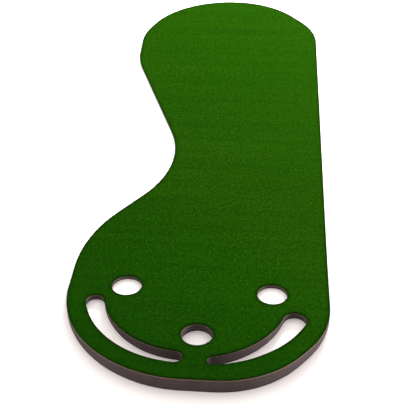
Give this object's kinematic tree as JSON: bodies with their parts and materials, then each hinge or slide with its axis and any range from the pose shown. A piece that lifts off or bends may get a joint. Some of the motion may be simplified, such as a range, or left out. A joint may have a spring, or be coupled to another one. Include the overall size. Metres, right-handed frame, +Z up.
{
  "type": "practice putting mat",
  "caption": "Kidney-shaped indoor putting mat: green turf on thin foam, with a raised foam cup end cut with round cups and curved ball slots, and a thin tail that folds over.",
  "frame": {"origin": "on the floor under the middle of the mat's overall box", "axes": "+X towards the long straight side, +Y along the mat from the raised cup end to the thin tail, +Z up from the floor"},
  "size_m": [0.9144, 2.7432, 0.0584],
  "materials": {
    "turf_pile": "short dense green cut pile, dry and matte",
    "turf_backing": "tan latex-coated woven backing, seen only as a cut edge",
    "foam_underlay": "dark taupe closed-cell foam with a finely embossed grip face",
    "wedge_foam": "taupe closed-cell foam, knife cut, matte",
    "contact_adhesive": "thin amber contact adhesive, hidden"
  },
  "bodies": {
    "cup_end": {"turf_pile_cup_end": "turf_pile", "turf_backing_cup_end": "turf_backing", "foam_underlay_cup_end": "foam_underlay", "foam_wedge": "wedge_foam", "wedge_glue_film": "contact_adhesive"},
    "tail": {"turf_pile_tail": "turf_pile", "turf_backing_tail": "turf_backing", "foam_underlay_tail": "foam_underlay"}
  },
  "joints": [
    {"name": "tail_fold", "type": "hinge", "parent": "cup_end", "child": "tail", "pos_m": [0, 0, 0.025], "axis": [1, 0, 0], "range_deg": [0, 178]}
  ]
}
